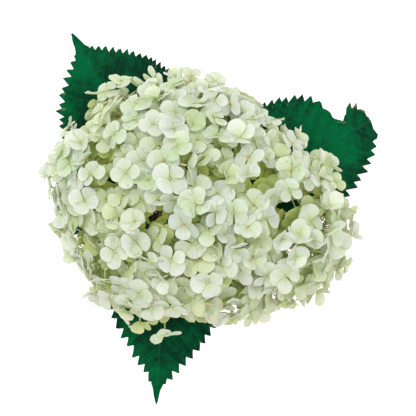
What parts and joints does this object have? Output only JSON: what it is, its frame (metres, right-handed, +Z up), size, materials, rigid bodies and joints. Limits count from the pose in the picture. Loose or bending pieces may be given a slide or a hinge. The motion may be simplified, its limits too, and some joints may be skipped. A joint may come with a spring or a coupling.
{
  "type": "potted hydrangea",
  "caption": "Potted hydrangea: a broad domed head of creamy white florets over large toothed dark green leaves, on an upright stem planted in a plain tapered clay pot of compost.",
  "frame": {"origin": "centre of the pot's flat underside, on the surface that it stands on", "axes": "+Z up along the stem; +X towards the side that the flower head leans to; -Y towards the front leaf"},
  "size_m": [0.2113, 0.2352, 0.3207],
  "materials": {
    "clay": "matt, unglazed terracotta",
    "compost": "loose, dark and crumbly",
    "stem": "matt green bark, browner towards the foot",
    "leaf": "thin dark green leaf, satin on top with sunken veins",
    "flower_stalk": "matt pale green, finely downy",
    "sepal": "thin creamy white petal, tinged pale green, matt"
  },
  "bodies": {
    "root": {"pot": "clay", "soil": "compost", "stem": "stem", "flower_stalk": "flower_stalk", "leaf_right": "leaf", "leaf_back_left": "leaf", "leaf_front": "leaf", "lower_leaf_back": "leaf", "lower_leaf_left": "leaf", "lower_leaf_right": "leaf", "floret_cluster_01": "sepal", "floret_cluster_02": "sepal", "floret_cluster_03": "sepal", "floret_cluster_04": "sepal", "floret_cluster_05": "sepal", "floret_cluster_06": "sepal", "floret_cluster_07": "sepal", "floret_cluster_08": "sepal", "floret_cluster_09": "sepal", "floret_cluster_10": "sepal", "floret_cluster_11": "sepal", "floret_cluster_12": "sepal", "floret_cluster_13": "sepal", "floret_cluster_14": "sepal", "floret_cluster_15": "sepal", "floret_cluster_16": "sepal", "floret_cluster_17": "sepal", "floret_cluster_18": "sepal", "floret_cluster_19": "sepal", "floret_cluster_20": "sepal", "floret_cluster_21": "sepal", "floret_cluster_22": "sepal", "floret_cluster_23": "sepal", "floret_cluster_24": "sepal"}
  },
  "joints": []
}
